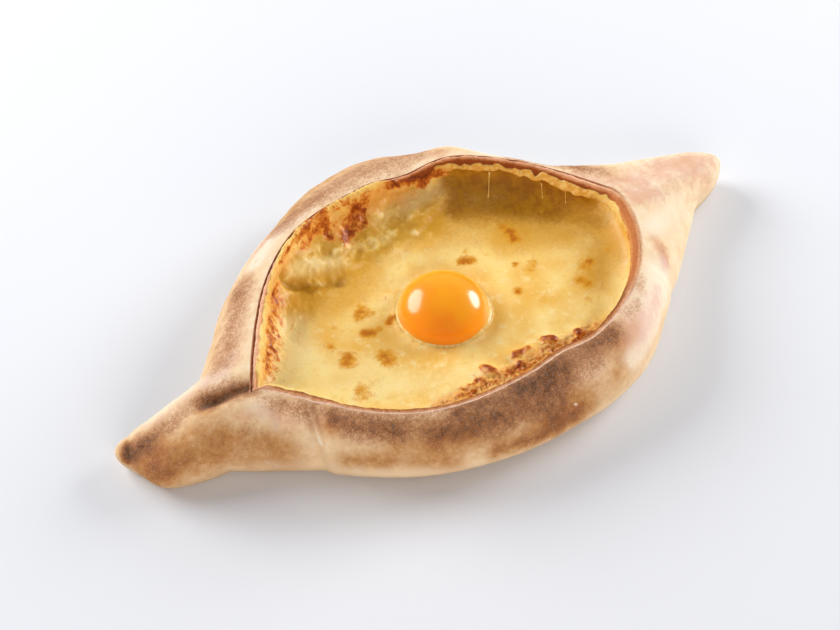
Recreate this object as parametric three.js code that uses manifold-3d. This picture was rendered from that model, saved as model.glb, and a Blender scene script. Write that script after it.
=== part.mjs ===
// Adjarian khachapuri: a boat of baked bread, a pool of melted cheese in it and a raw egg yolk on the cheese.
// Millimetres, +Z up. The boat lies along X on z = 0, and the origin is under the middle of its bounding box.
// "Right" and "left" are +X and -X, where the two tips are. "Far" and "near" are +Y and -Y, the long walls.
import * as THREE from "three";
import { mergeVertices } from "three/addons/utils/BufferGeometryUtils.js";
import Module from "manifold-3d";

// ---------- driving dimensions ----------
const LENGTH = 300; // tip to tip, before the relief of the crust
const HALF_LENGTH = LENGTH / 2;
const GAP = 0.5; // between solids that touch
const CENTRING = [-0.54, -3.32, 0]; // moves the places given here so that the bounding box is centred

// Outline at the belly, the widest line of the wall: a bar that carries both tips, and a bulge on each side.
const TIP = {
  left: { halfWidth: 19.6, endHalfWidth: 18, squareness: 10.5, offset: 3.7 },
  right: { halfWidth: 21.5, endHalfWidth: 13, squareness: 7, offset: -0.5 },
};
// `easing` over 1 lets a bulge run out gently towards the right tip.
const BELLY = {
  far: { bulge: 65.2, widestAt: -2, reachLeft: 106, reachRight: 89.5, easing: 1 },
  near: { bulge: 60.8, widestAt: 6, reachLeft: 120, reachRight: 122, easing: 1.1 },
};
const FOOT_SCALE = { x: 0.965, y: 0.84 }; // the flat foot against the belly

// Outline of the opening, at the outer edge of its rim. The right end of its far side is rounded off:
// `rounded` takes the place of `sharpness` there.
const OPENING = {
  left: -96.9,
  right: 88.8,
  middle: -6.2, // y of its two ends
  bunching: 1.55, // draws the columns of faces together at the two ends
  far: {
    width: 63.1,
    widestAt: -17,
    left: { power: 2.1, sharpness: 1.05 },
    right: { power: 3.4, sharpness: 1.03, rounded: 0.71 },
  },
  near: {
    width: 56.2,
    widestAt: 27.3,
    left: { power: 5.4, sharpness: 2 },
    right: { power: 1.75, sharpness: 0.55 },
  },
};
const END_ROUNDING = 35; // more keeps the rounding closer to the end

// A list of four goes round the boat as right, far, left, near. A list of twelve goes round the same way, in
// steps of 30 degrees.
const BELLY_HEIGHT = [10.5, 10, 8.4, 11.9];
const RIM_HEIGHT = [32.6, 36.7, 31.7, 32];
const CROWN_FALL = [11.7, 4.7, 12.2, 2.5]; // how far the top falls from the rim out to the belly
// 2 is an ellipse, more is squarer.
const SHOULDER_FULLNESS = [4, 3.3, 2.6, 2.1, 2.1, 2, 2, 2, 2.1, 2.1, 2, 1.3];

// Section of the rim, from its outer edge inwards and down: a groove, a bead and a band down to the cheese.
// The lists go round the yolk.
const LIP_WIDTH = [5.5, 3.2, 3, 3.4, 3.7, 4.3, 5, 4.3, 3.4, 3, 3.6, 4.8];
const LIP_DEPTH = [4.5, 3.6, 4.6, 5.5, 5, 4.4, 4, 4, 4, 4, 4, 4.2];
const GROOVE = { at: 0.2, depth: 0.9 }; // at a share of the lip's width
const BEAD = { at: 0.5, height: 0.6 };

// The pool of cheese, which rises by `lift` towards its shore between two places on an axis.
const POOL_HEIGHT = 20;
const POOL_LIFTS = [
  { axis: "x", from: -30, to: -92, lift: 5 },
  { axis: "x", from: 48, to: 88, lift: 3 },
  { axis: "y", from: -26, to: -60, lift: 4.5 },
  { axis: "y", from: 22, to: 55, lift: 1.5 },
];

// Inside. The lists go round the yolk.
const SPINE = { left: [-62, -3.5], right: [45, -8] }; // middle line that the sections run in towards
const FLOOR_HEIGHT = 9;
const FLOOR_FILLET = 14;
const WALL_CHEESE = 3; // thickness of the cheese on the wall
// How far the cheese hollows out under the rim.
const UNDERCUT = [2.5, 8, 4, -1, -3, -1, 0, 1, 2, 3, 3, 2.5];
// How far in the cheese curves down to its pool.
const SHORE_WIDTH = [12, 12, 20, 30, 34, 26, 16, 9, 8, 8, 9, 11];

const YOLK = { x: -5, y: -8, radius: 19, above: 13.4, below: 6, base: 20.5 };

// Relief of the crust: ridges (height over 0) and valleys along a line in plan, or puffs at a point.
const CRUST_RELIEF = [
  { from: [-54, -66], radius: 28, height: 2.2 },
  { from: [-97, -34], radius: 17, height: -2.8 },
  { from: [55, -71], radius: 21, height: 2.7 },
  { from: [10, -84], radius: 13, height: -2.4 },
  { from: [15, -64], radius: 9, height: 2.6 },
  { from: [43, 63.5], radius: 16, height: 3.6 },
  { from: [32, 64], radius: 10, height: -2.2 },
  { from: [18, 55], radius: 10.5, height: -3.3 },
  { from: [-77, 47], radius: 16, height: 1.4 },
  { from: [-33, 70], radius: 18, height: -2.1 },
  { from: [-150.5, 0.5], radius: 11, height: -4.9 }, // the hollow end of the left tip
  { from: [-146.5, 15.5], radius: 8, height: 5 }, // and the knob beside it
  { from: [-96, -4], to: [-109, 1.5], radius: 3.6, height: -3 }, // the pinched fold of the left tip
  { from: [-109, 1.5], to: [-126, 4.5], radius: 4, height: -1.8 },
  { from: [-100, -14], to: [-118, -6], radius: 7, height: 1.4 }, // the roll beside it
  { from: [-98, -30], to: [-119, -17], radius: 8, height: 1.4 },
  { from: [-89, -16], radius: 8, height: -1.6 },
  { from: [-100, 5], to: [-130, 11], radius: 6, height: 1.2 },
  { from: [-80, -27], to: [-86, -40], radius: 3, height: -1.2 }, // a crack down the near wall
  { from: [78, -41], to: [87, -48], radius: 4, height: -1.6 }, // the fold of the right tip
  { from: [106, 4], to: [130, 0], radius: 6, height: -1.2 },
];

// Relief of the cheese: browned crags along the near wall, and lumps on the slope below the far wall.
const CHEESE_RELIEF = [
  { from: [33, -50], radius: 3.5, height: 1.2 },
  { from: [21, -47], radius: 4, height: 1.7 },
  { from: [11, -47], radius: 4.5, height: 1.6 },
  { from: [3, -43], radius: 3.5, height: 1 },
  { from: [-10, -45], radius: 4, height: 1.2 },
  { from: [55, -44], radius: 4, height: 1 },
  { from: [36, 42], to: [-8, 17], radius: 6, height: 1.6 }, // the edge of the slope beside the recess
  { from: [13, 43], radius: 6, height: 1.4 },
  { from: [-6, 45], radius: 5, height: 1.3 },
  { from: [-24, 44], radius: 6, height: 1.6 },
  { from: [-42, 33], radius: 6, height: 1.2 },
  { from: [-50, 39], radius: 5, height: -2 }, // a hollow high on the slope
  { from: [-66, 18], radius: 7, height: -1.8 }, // and one at its foot
];

// ---------- resolution ----------
const COLUMNS = 116;
const ROWS = { foot: 4, wall: 14, cavity: 6, cheeseWall: 9, pool: 7 };
const YOLK_FACES = { around: 36, down: 14 };
const STEPS = 48; // points of a section before its rows are spread along it

// ---------- small helpers ----------
const { sin, cos, atan2, abs, exp, sign, sqrt, min, max, floor, PI } = Math;
const vec = (x, y, z) => new THREE.Vector3(x, y, z);
const clamp01 = (t) => min(max(t, 0), 1);

// One value for a direction round the boat, blended smoothly from a list that goes round it in equal steps.
function around(values, angle) {
  const n = values.length;
  const place = ((angle / (2 * PI)) * n + n) % n;
  const i = floor(place);
  const blend = (1 - cos(PI * (place - i))) / 2;
  return values[i] * (1 - blend) + values[(i + 1) % n] * blend;
}

// How much a list of ridges, valleys and puffs raises the surface at a place in plan.
function relief(list, x, y) {
  let height = 0;
  for (const { from, to = from, radius, height: peak } of list) {
    const along = [to[0] - from[0], to[1] - from[1]];
    const length2 = along[0] ** 2 + along[1] ** 2;
    const t = length2 ? clamp01(((x - from[0]) * along[0] + (y - from[1]) * along[1]) / length2) : 0;
    const away2 = (x - from[0] - t * along[0]) ** 2 + (y - from[1] - t * along[1]) ** 2;
    height += peak * exp(-away2 / radius ** 2);
  }
  return height;
}

// n + 1 points evenly spaced along a polyline.
function spread(points, n) {
  const along = [0];
  for (let i = 1; i < points.length; i++) along.push(along[i - 1] + points[i].distanceTo(points[i - 1]));
  const total = along[along.length - 1];
  const out = [];
  for (let k = 0, i = 1; k <= n; k++) {
    const want = (total * k) / n;
    while (i < points.length - 1 && along[i] < want) i++;
    const t = (want - along[i - 1]) / (along[i] - along[i - 1]);
    out.push(points[i - 1].clone().lerp(points[i], clamp01(t)));
  }
  return out;
}

const bezier = (a, b, c, d) => new THREE.CubicBezierCurve3(a, b, c, d).getPoints(STEPS);
const angles = Array.from({ length: COLUMNS }, (_, i) => (2 * PI * i) / COLUMNS);

// A closed surface from columns of points that all run from `first` to `last`.
function closedSurface(first, columns, last) {
  const rows = columns[0].length;
  const n = columns.length;
  const positions = [first, ...columns.flat(), last].flatMap((p) => [p.x, p.y, p.z]);
  const at = (i, j) => 1 + (i % n) * rows + j;
  const end = 1 + n * rows;
  const index = [];
  for (let i = 0; i < n; i++) {
    index.push(0, at(i + 1, 0), at(i, 0));
    for (let j = 0; j < rows - 1; j++) {
      index.push(at(i, j), at(i + 1, j), at(i + 1, j + 1));
      index.push(at(i, j), at(i + 1, j + 1), at(i, j + 1));
    }
    index.push(end, at(i, rows - 1), at(i + 1, rows - 1));
  }
  const geometry = new THREE.BufferGeometry();
  geometry.setAttribute("position", new THREE.Float32BufferAttribute(positions, 3));
  geometry.setIndex(index);
  geometry.computeVertexNormals();
  return geometry;
}

// ---------- outlines ----------
function bellyPoint(angle) {
  const c = cos(angle);
  const s = sin(angle);
  const x = HALF_LENGTH * c;
  const tip = c > 0 ? TIP.right : TIP.left;
  const side = s >= 0 ? BELLY.far : BELLY.near;
  const taper = tip.halfWidth + (tip.endHalfWidth - tip.halfWidth) * c * c;
  const bar = taper * sqrt(max(0, 1 - abs(c) ** tip.squareness));
  const t = min(abs(x - side.widestAt) / (x < side.widestAt ? side.reachLeft : side.reachRight), 1);
  const easing = x < side.widestAt ? 1 : side.easing;
  const bulge = side.bulge * max(0, cos((PI / 2) * t)) ** easing;
  return vec(x, tip.offset * c ** 4 + sign(s) * (bar + bulge), around(BELLY_HEIGHT, angle));
}

function flatRimPoint(angle) {
  const c = cos(angle);
  const s = sin(angle);
  const side = s >= 0 ? OPENING.far : OPENING.near;
  const reached = 1 - (1 - abs(c)) ** OPENING.bunching;
  const x = (c > 0 ? OPENING.right : OPENING.left) * reached;
  const end = x > side.widestAt ? "right" : "left";
  const t = clamp01((x - side.widestAt) / (OPENING[end] - side.widestAt));
  const { power, sharpness, rounded = sharpness } = side[end];
  const width = side.width * (1 - t ** power) ** (sharpness + (rounded - sharpness) * t ** END_ROUNDING);
  return vec(x, OPENING.middle + sign(s) * width, around(RIM_HEIGHT, angle));
}

function rimPoint(angle) {
  const rim = flatRimPoint(angle);
  return rim.setZ(rim.z + relief(CRUST_RELIEF, rim.x, rim.y));
}

// ---------- the bread ----------
const spine = new THREE.Line3(vec(...SPINE.left, 0), vec(...SPINE.right, 0));

// From the flat foot round the belly and over the shoulder to the rim's outer edge.
function wallColumn(angle) {
  const belly = bellyPoint(angle);
  const rim = flatRimPoint(angle);
  const outward = vec(belly.x - rim.x, belly.y - rim.y, 0).normalize();
  const fall = around(CROWN_FALL, angle);
  const fullness = around(SHOULDER_FULLNESS, angle);
  const over = [];
  for (let k = 0; k <= STEPS; k++) {
    const out = 1 - k / STEPS;
    const top = rim.z - fall * out;
    const rise = (top - belly.z) * (1 - out ** fullness) ** (1 / fullness);
    const point = rim.clone().lerp(belly, out).setZ(belly.z + rise);
    const raised = relief(CRUST_RELIEF, point.x, point.y);
    const lean = (PI / 2) * out;
    point.addScaledVector(outward, raised * sin(lean));
    over.push(point.setZ(point.z + raised * cos(lean)));
  }
  const widest = over[0];
  const foot = vec(widest.x * FOOT_SCALE.x, widest.y * FOOT_SCALE.y, 0);
  const under = [];
  for (let k = 0; k <= STEPS; k++) {
    const turn = ((PI / 2) * k) / STEPS;
    under.push(foot.clone().lerp(widest, sin(turn)).setZ(widest.z * (1 - cos(turn))));
  }
  return [...spread(under, ROWS.foot).slice(0, -1), ...spread(over, ROWS.wall)];
}

// From a point of the rim: its bearing from the yolk, the way in to the nearest point of the spine, how far
// that is, and the place where the lip ends and the cheese starts.
function inside(angle) {
  const rim = rimPoint(angle);
  const bearing = atan2(rim.y - YOLK.y, rim.x - YOLK.x) + 2 * PI;
  const level = rim.clone().setZ(0);
  const way = spine.closestPointToPoint(level, true, vec(0, 0, 0)).sub(level);
  const room = way.length();
  way.normalize();
  const contact = rim.clone().addScaledVector(way, around(LIP_WIDTH, bearing));
  contact.z -= around(LIP_DEPTH, bearing);
  return { rim, bearing, way, room, contact };
}

// A distance in from the rim, held back where there is little room.
const within = (wanted, room) => (wanted ** -4 + (0.75 * room) ** -4) ** (-1 / 4);

// Groove, bead and band, from next to the rim's outer edge down to the cheese.
function lipColumn(angle) {
  const { rim, contact } = inside(angle);
  const across = (share, height) => rim.clone().lerp(contact, share).setZ(rim.z + height);
  return [
    across(GROOVE.at, -GROOVE.depth),
    across(BEAD.at - 0.2, 0),
    across(BEAD.at, BEAD.height),
    across(BEAD.at + 0.3, -BEAD.height),
    contact,
  ];
}

// The hollow for the cheese: out under the rim and down to the floor. `inset` moves it towards the cheese.
function cavityColumn(angle, inset) {
  const { bearing, way, room, contact } = inside(angle);
  const drop = contact.z - FLOOR_HEIGHT;
  const at = (d, z) => contact.clone().addScaledVector(way, d + inset).setZ(z);
  const back = max(around(UNDERCUT, bearing), 0) + WALL_CHEESE;
  const curve = bezier(
    at(0, contact.z - inset),
    at(-back * 1.6, contact.z - drop * 0.35),
    at(-back * 0.6, FLOOR_HEIGHT + inset),
    at(within(FLOOR_FILLET, room), FLOOR_HEIGHT + inset),
  );
  return spread(curve, ROWS.cavity);
}

function breadGeometry() {
  const columns = angles.map((angle) => [
    ...wallColumn(angle),
    ...lipColumn(angle),
    ...cavityColumn(angle, 0).slice(1),
  ]);
  return closedSurface(vec(0, 0, 0), columns, vec(YOLK.x, YOLK.y, FLOOR_HEIGHT));
}

// ---------- the cheese ----------
function poolHeight(x, y) {
  const lifts = POOL_LIFTS.map(({ axis, from, to, lift }) => {
    const share = ((axis === "x" ? x : y) - from) / (to - from);
    return lift * clamp01(share) ** 2;
  });
  return lifts.reduce((sum, lift) => sum + lift, POOL_HEIGHT);
}

// From its edge under the lip, down the wall and round into the pool, then on to the middle of the pool.
function cheeseTopColumn(angle) {
  const { bearing, way, room, contact } = inside(angle);
  const width = within(around(SHORE_WIDTH, bearing), room);
  const at = (d, z) => contact.clone().addScaledVector(way, d + GAP).setZ(z);
  const { x, y } = at(width, 0);
  const shoreHeight = poolHeight(x, y);
  const drop = contact.z - shoreHeight;
  const curve = bezier(
    at(0, contact.z - GAP),
    at(-around(UNDERCUT, bearing), contact.z - drop * 0.6),
    at(width * 0.3, shoreHeight),
    at(width, shoreHeight),
  );
  const shore = curve[STEPS];
  const middle = vec(YOLK.x, YOLK.y, POOL_HEIGHT);
  const pool = [];
  for (let k = 1; k < ROWS.pool; k++) {
    const point = shore.clone().lerp(middle, k / ROWS.pool);
    pool.push(point.setZ(poolHeight(point.x, point.y)));
  }
  const [edge, ...rest] = [...spread(curve, ROWS.cheeseWall), ...pool];
  return [edge, ...rest.map((p) => p.setZ(p.z + relief(CHEESE_RELIEF, p.x, p.y)))];
}

function cheeseGeometry() {
  const columns = angles.map((angle) => {
    const under = cavityColumn(angle, GAP).reverse();
    return [...under.slice(0, -1), ...cheeseTopColumn(angle)];
  });
  const bottom = vec(YOLK.x, YOLK.y, FLOOR_HEIGHT + GAP);
  return closedSurface(bottom, columns, bottom.clone().setZ(POOL_HEIGHT));
}

// ---------- the yolk ----------
// A round body of two half ellipsoids, `grow` larger all over than the real one.
function yolkGeometry(grow) {
  const profile = [];
  for (let k = 0; k <= YOLK_FACES.down; k++) {
    const turn = -PI / 2 + (PI * k) / YOLK_FACES.down;
    const half = turn > 0 ? YOLK.above : YOLK.below;
    const radius = k % YOLK_FACES.down === 0 ? 0 : (YOLK.radius + grow) * cos(turn);
    profile.push(new THREE.Vector2(radius, (half + grow) * sin(turn)));
  }
  const turned = new THREE.LatheGeometry(profile, YOLK_FACES.around);
  return turned.rotateX(PI / 2).translate(YOLK.x, YOLK.y, YOLK.base);
}

// ---------- solids ----------
const wasm = await Module();
wasm.setup();

function toSolid(geometry) {
  const bare = geometry.clone();
  bare.deleteAttribute("normal");
  bare.deleteAttribute("uv");
  const merged = mergeVertices(bare, 1e-4);
  const vertProperties = merged.attributes.position.array;
  const triVerts = new Uint32Array(merged.index.array);
  return new wasm.Manifold(new wasm.Mesh({ numProp: 3, vertProperties, triVerts }));
}

function toGeometry(solid) {
  const mesh = solid.getMesh();
  const geometry = new THREE.BufferGeometry();
  geometry.setAttribute("position", new THREE.BufferAttribute(mesh.vertProperties, 3));
  geometry.setIndex(new THREE.BufferAttribute(mesh.triVerts, 1));
  geometry.computeVertexNormals();
  return geometry;
}

// ---------- materials and the finished group ----------
const crust = new THREE.MeshStandardMaterial({ color: 0xd9b48c, roughness: 0.85, metalness: 0 });
const cheese = new THREE.MeshStandardMaterial({ color: 0xe3bd62, roughness: 0.4, metalness: 0 });
const yolk = new THREE.MeshStandardMaterial({ color: 0xf59a05, roughness: 0.12, metalness: 0 });

function named(name, geometry, material) {
  const mesh = new THREE.Mesh(geometry, material);
  mesh.name = name;
  return mesh;
}

const khachapuri = new THREE.Group();
khachapuri.position.set(...CENTRING);
const dentedCheese = toSolid(cheeseGeometry()).subtract(toSolid(yolkGeometry(GAP)));
khachapuri.add(named("bread_boat", breadGeometry(), crust));
khachapuri.add(named("cheese_filling", toGeometry(dentedCheese), cheese));
khachapuri.add(named("egg_yolk", yolkGeometry(0), yolk));

export default khachapuri;
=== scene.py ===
"""Looks of the khachapuri: baked bread, melted cheese and yolk at fine resolution.

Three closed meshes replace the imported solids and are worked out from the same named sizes.
Places are in millimetres in the same frame as those sizes, and move by CENTRING at the end.
"Right" and "left" are +X and -X, where the tips are. "Far" and "near" are +Y and -Y, the two long walls.
"""
import math

import bpy
import numpy as np
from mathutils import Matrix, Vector


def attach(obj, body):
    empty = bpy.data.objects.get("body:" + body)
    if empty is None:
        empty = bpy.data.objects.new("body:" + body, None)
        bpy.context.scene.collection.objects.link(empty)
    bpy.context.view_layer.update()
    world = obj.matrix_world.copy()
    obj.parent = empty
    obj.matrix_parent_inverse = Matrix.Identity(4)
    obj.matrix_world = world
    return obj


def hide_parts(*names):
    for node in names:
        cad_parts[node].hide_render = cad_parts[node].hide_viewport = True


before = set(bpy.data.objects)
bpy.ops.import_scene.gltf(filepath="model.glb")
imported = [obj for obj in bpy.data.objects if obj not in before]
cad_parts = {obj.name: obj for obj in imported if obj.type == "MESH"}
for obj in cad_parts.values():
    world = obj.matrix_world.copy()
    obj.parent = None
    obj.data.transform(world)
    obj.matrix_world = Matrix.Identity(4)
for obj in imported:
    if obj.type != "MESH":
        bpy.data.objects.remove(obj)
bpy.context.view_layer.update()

MM = 0.001
TAU = 2 * math.pi

# ---------- form of the solids ----------
HALF_LENGTH = 150
GAP = 0.5
CENTRING = np.array([-0.54, -3.32, 0])

TIP = {
    "left": {"half_width": 19.6, "end_half_width": 18, "squareness": 10.5, "offset": 3.7},
    "right": {"half_width": 21.5, "end_half_width": 13, "squareness": 7, "offset": -0.5},
}
BELLY = {
    "far": {"bulge": 65.2, "widest_at": -2, "reach_left": 106, "reach_right": 89.5, "easing": 1},
    "near": {"bulge": 60.8, "widest_at": 6, "reach_left": 120, "reach_right": 122, "easing": 1.1},
}
FOOT_SCALE = np.array([0.965, 0.84, 0])
OPENING = {"left": -96.9, "right": 88.8, "middle": -6.2, "bunching": 1.55}
END_ROUNDING = 35
TIP_BLEND = 0.07  # cosine up to which, on either side of the middle, the forms of the two tips blend
OPENING_SIDES = {
    "far": {"width": 63.1, "widest_at": -17, "left": (2.1, 1.05), "right": (3.4, 1.03, 0.71)},
    "near": {"width": 56.2, "widest_at": 27.3, "left": (5.4, 2), "right": (1.75, 0.55)},
}

# Lists of four or twelve go round the boat in equal steps, from the right by way of the far side.
BELLY_HEIGHT = [10.5, 10, 8.4, 11.9]
RIM_HEIGHT = [32.6, 36.7, 31.7, 32]
CROWN_FALL = [11.7, 4.7, 12.2, 2.5]
SHOULDER_FULLNESS = [4, 3.3, 2.6, 2.1, 2.1, 2, 2, 2, 2.1, 2.1, 2, 1.3]

# Section of the lip, with its groove, bead and inner band: share 0 is the rim's edge, and 1 meets the cheese.
LIP_SHARES = [0, 0.12, 0.2, 0.3, 0.5, 0.8, 1]
LIP_HEIGHTS = [0, -0.1, -1, 0, 0.6, -0.6, -1.5]
LIP_DROP = {"from": 0.72, "over": 0.28, "power": 1.6}

POOL_HEIGHT = 20
POOL_LIFTS = [  # axis, from, to, lift
    (0, -30, -92, 5),
    (0, 48, 88, 3),
    (1, -26, -60, 4.5),
    (1, 22, 55, 1.5),
]
SPINE_LEFT = np.array([-62, -3.5])
SPINE_RIGHT = np.array([45, -8])
FLOOR_HEIGHT = 9
FLOOR_FILLET = 14
WALL_CHEESE = 3

# These lists go round the yolk in the same way. CHEESE_FROM is the share of the lip where cheese starts.
LIP_WIDTH = [5.5, 3.2, 3, 3.4, 3.7, 4.3, 5, 4.3, 3.4, 3, 3.6, 4.8]
LIP_DEPTH = [4.5, 3.6, 4.6, 5.5, 5, 4.4, 4, 4, 4, 4, 4, 4.2]
CHEESE_FROM = [0.88, 0.85, 0.88, 0.2, 0.24, 0.66, 0.55, 1, 1, 0.85, 0.85, 1]
UNDERCUT = [2.5, 8, 4, -1, -3, -1, 0, 1, 2, 3, 3, 2.5]
SHORE_WIDTH = [12, 12, 20, 30, 34, 26, 16, 9, 8, 8, 9, 11]
YOLK = {"x": -5, "y": -8, "radius": 19, "above": 13.4, "below": 6, "base": 20.5}

CRUST_RELIEF = [  # from, to (None where it is round), radius, height
    ((-54, -66), None, 28, 2.2),
    ((-97, -34), None, 17, -2.8),
    ((55, -71), None, 21, 2.7),
    ((10, -84), None, 13, -2.4),
    ((43, 63.5), None, 16, 3.6),
    ((32, 64), None, 10, -2.2),
    ((-77, 47), None, 16, 1.4),
    ((-33, 70), None, 18, -2.1),
    ((18, 55), None, 10.5, -3.3),
    ((-150.5, 0.5), None, 11, -4.9),
    ((-146.5, 15.5), None, 8, 5),
    ((15, -64), None, 9, 2.6),
    ((-96, -4), (-109, 1.5), 3.6, -3),
    ((-109, 1.5), (-126, 4.5), 4, -1.8),
    ((-100, -14), (-118, -6), 7, 1.4),
    ((-98, -30), (-119, -17), 8, 1.4),
    ((-89, -16), None, 8, -1.6),
    ((-100, 5), (-130, 11), 6, 1.2),
    ((-80, -27), (-86, -40), 3, -1.2),
    ((78, -41), (87, -48), 4, -1.6),
    ((106, 4), (130, 0), 6, -1.2),
]
CHEESE_RELIEF = [  # from, to, radius, height
    ((33, -50), None, 3.5, 1.2),
    ((21, -47), None, 4, 1.7),
    ((11, -47), None, 4.5, 1.6),
    ((3, -43), None, 3.5, 1),
    ((-10, -45), None, 4, 1.2),
    ((55, -44), None, 4, 1),
    ((36, 42), (-8, 17), 6, 1.6),
    ((13, 43), None, 6, 1.4),
    ((-6, 45), None, 5, 1.3),
    ((-24, 44), None, 6, 1.6),
    ((-42, 33), None, 6, 1.2),
    ((-50, 39), None, 5, -2),
    ((-66, 18), None, 7, -1.8),
]

# ---------- resolution ----------
COLUMNS = 800
BREAD_ROWS = {"under": 6, "over": 72, "lip": 24, "cavity": 5}
CHEESE_ROWS = {"under": 5, "skin": 14, "shore": 46, "pool": 46}
YOLK_COLUMNS, YOLK_ROWS = 128, 64
FILM_COLUMNS, FILM_ROWS = 160, 9
STRING_COLUMNS, STRING_ROWS = 8, 25
STEPS = 96  # points of a section before its rows are spread along it


# ---------- repeatable noise ----------
HASH_FACTORS = (374761393, 668265263, 1442695041)  # one for each axis
HASH_SEED_FACTOR = 974711
HASH_ROUNDS = ((13, 1274126177), (15, 461845907))  # shift, factor
WORD = 0xFFFFFFFF
NOISE_START = 512.37  # keeps the corners of the lattice above 0
NOISE_GAIN = 1.6


def lattice(corner, seed):
    """A number from -1 to 1 for each whole-number corner (..., 3)."""
    h = sum(corner[..., axis] * factor for axis, factor in enumerate(HASH_FACTORS))
    h = (h + seed * HASH_SEED_FACTOR) & WORD
    for shift, factor in HASH_ROUNDS:
        h = ((h ^ (h >> shift)) * factor) & WORD
    return (h ^ (h >> 16)) / (WORD // 2) - 1


def noise(points, size, seed=0):
    """Gradient noise, about -1 to 1, with lumps `size` mm across."""
    p = points / size + NOISE_START
    low = np.floor(p).astype(np.int64)
    f = p - low
    fade = f * f * f * (f * (f * 6 - 15) + 10)
    total = np.zeros(p.shape[:-1])
    for corner in np.ndindex(2, 2, 2):
        at = low + corner
        slope = sum(lattice(at, seed * 3 + axis) * (f[..., axis] - corner[axis]) for axis in range(3))
        weight = np.prod(np.where(np.array(corner) == 1, fade, 1 - fade), axis=-1)
        total += weight * slope
    return total * NOISE_GAIN


def layered(points, size, octaves, seed=0, gain=0.5):
    """Noise with finer and weaker layers added."""
    total = 0
    for k in range(octaves):
        total = total + noise(points, size / 2**k, seed + 11 * k) * gain**k
    return total


def ridged(points, size, octaves, seed=0):
    """0 to 1, with sharp crests."""
    total = 0
    for k in range(octaves):
        total = total + (1 - abs(noise(points, size / 2**k, seed + 7 * k)).clip(0, 1)) ** 2 * 0.5**k
    return total / (2 - 0.5 ** (octaves - 1))


def step(value, low, high):
    """Smoothly from 0 at `low` to 1 at `high`."""
    t = ((value - low) / (high - low)).clip(0, 1)
    return t * t * (3 - 2 * t)


def between(value, start, full, end, gone):
    """Smoothly from 0 at `start` to 1 at `full`, and from 1 at `end` back to 0 at `gone`."""
    return step(value, start, full) * (1 - step(value, end, gone))


# ---------- sections, as the solids have them ----------
def on_yolk_axis(height):
    return np.array([YOLK["x"], YOLK["y"], height])


def around(values, angle):
    """One value for each direction, blended from a list that goes round in equal steps."""
    values = np.asarray(values, float)
    n = len(values)
    place = (angle / TAU * n) % n
    i = np.floor(place).astype(int) % n
    blend = (1 - np.cos(np.pi * (place - np.floor(place)))) / 2
    return values[i] * (1 - blend) + values[(i + 1) % n] * blend


def distance_to_line(x, y, start, end):
    """Distance to a straight stretch, or to a point where `end` is None."""
    ax, ay = start
    bx, by = end or start
    along = np.array([bx - ax, by - ay], float)
    length2 = along @ along
    t = ((x - ax) * along[0] + (y - ay) * along[1]) / length2 if length2 else 0 * x
    t = t.clip(0, 1)
    return np.hypot(x - ax - t * along[0], y - ay - t * along[1])


def relief(shapes, x, y):
    """How much ridges, valleys and puffs raise the surface."""
    raised = 0
    for start, end, radius, height in shapes:
        raised = raised + height * np.exp(-((distance_to_line(x, y, start, end) / radius) ** 2))
    return raised


def spread(points, n):
    """n + 1 points evenly along each polyline of (columns, points, 3)."""
    along = np.linalg.norm(np.diff(points, axis=1), axis=2).cumsum(axis=1)
    along = np.concatenate([np.zeros((len(points), 1)), along], axis=1)
    out = np.empty((len(points), n + 1, 3))
    for c, (line, length) in enumerate(zip(points, along)):
        want = np.linspace(0, length[-1], n + 1)
        for axis in range(3):
            out[c, :, axis] = np.interp(want, length, line[:, axis])
    return out


def bezier(a, b, c, d):
    """A cubic curve for each column, from a to d, with b and c as its handles."""
    t = np.linspace(0, 1, STEPS + 1)[None, :, None]
    a, b, c, d = (p[:, None] for p in (a, b, c, d))
    return a * (1 - t) ** 3 + 3 * b * t * (1 - t) ** 2 + 3 * c * t * t * (1 - t) + d * t**3


def belly_points(angle):
    """The widest outline: a bar with two unlike tips, and a bulge on each long side."""
    c, s = np.cos(angle), np.sin(angle)
    x = HALF_LENGTH * c
    bar, offset, bulge = np.zeros_like(x), np.zeros_like(x), np.zeros_like(x)
    to_right = step(c, -TIP_BLEND, TIP_BLEND)
    for name, here in (("right", to_right), ("left", 1 - to_right)):
        tip = TIP[name]
        taper = tip["half_width"] + (tip["end_half_width"] - tip["half_width"]) * c * c
        bar += here * taper * np.sqrt((1 - abs(c) ** tip["squareness"]).clip(0))
        offset += here * tip["offset"] * c**4
    for name, here in (("far", s >= 0), ("near", s < 0)):
        side = BELLY[name]
        reach = np.where(x < side["widest_at"], side["reach_left"], side["reach_right"])
        t = (abs(x - side["widest_at"]) / reach).clip(0, 1)
        easing = np.where(x < side["widest_at"], 1, side["easing"])
        bulge = np.where(here, side["bulge"] * np.cos(np.pi / 2 * t).clip(0) ** easing, bulge)
    return np.stack([x, offset + np.sign(s) * (bar + bulge), around(BELLY_HEIGHT, angle)], -1)


def flat_rim_points(angle):
    """The outer edge of the rim, before folds and puffs raise it."""
    c, s = np.cos(angle), np.sin(angle)
    reached = 1 - (1 - abs(c)) ** OPENING["bunching"]
    x = np.where(c > 0, OPENING["right"], OPENING["left"]) * reached
    width = np.zeros_like(x)
    for side_name, on_side in (("far", s >= 0), ("near", s < 0)):
        side = OPENING_SIDES[side_name]
        for end in ("left", "right"):
            power, sharpness, *rounded = side[end]
            here = on_side & ((x > side["widest_at"]) == (end == "right"))
            t = ((x - side["widest_at"]) / (OPENING[end] - side["widest_at"])).clip(0, 1)
            if rounded:
                sharpness = sharpness + (rounded[0] - sharpness) * t**END_ROUNDING
            width = np.where(here, side["width"] * (1 - t**power) ** sharpness, width)
    return np.stack([x, OPENING["middle"] + np.sign(s) * width, around(RIM_HEIGHT, angle)], -1)


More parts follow.
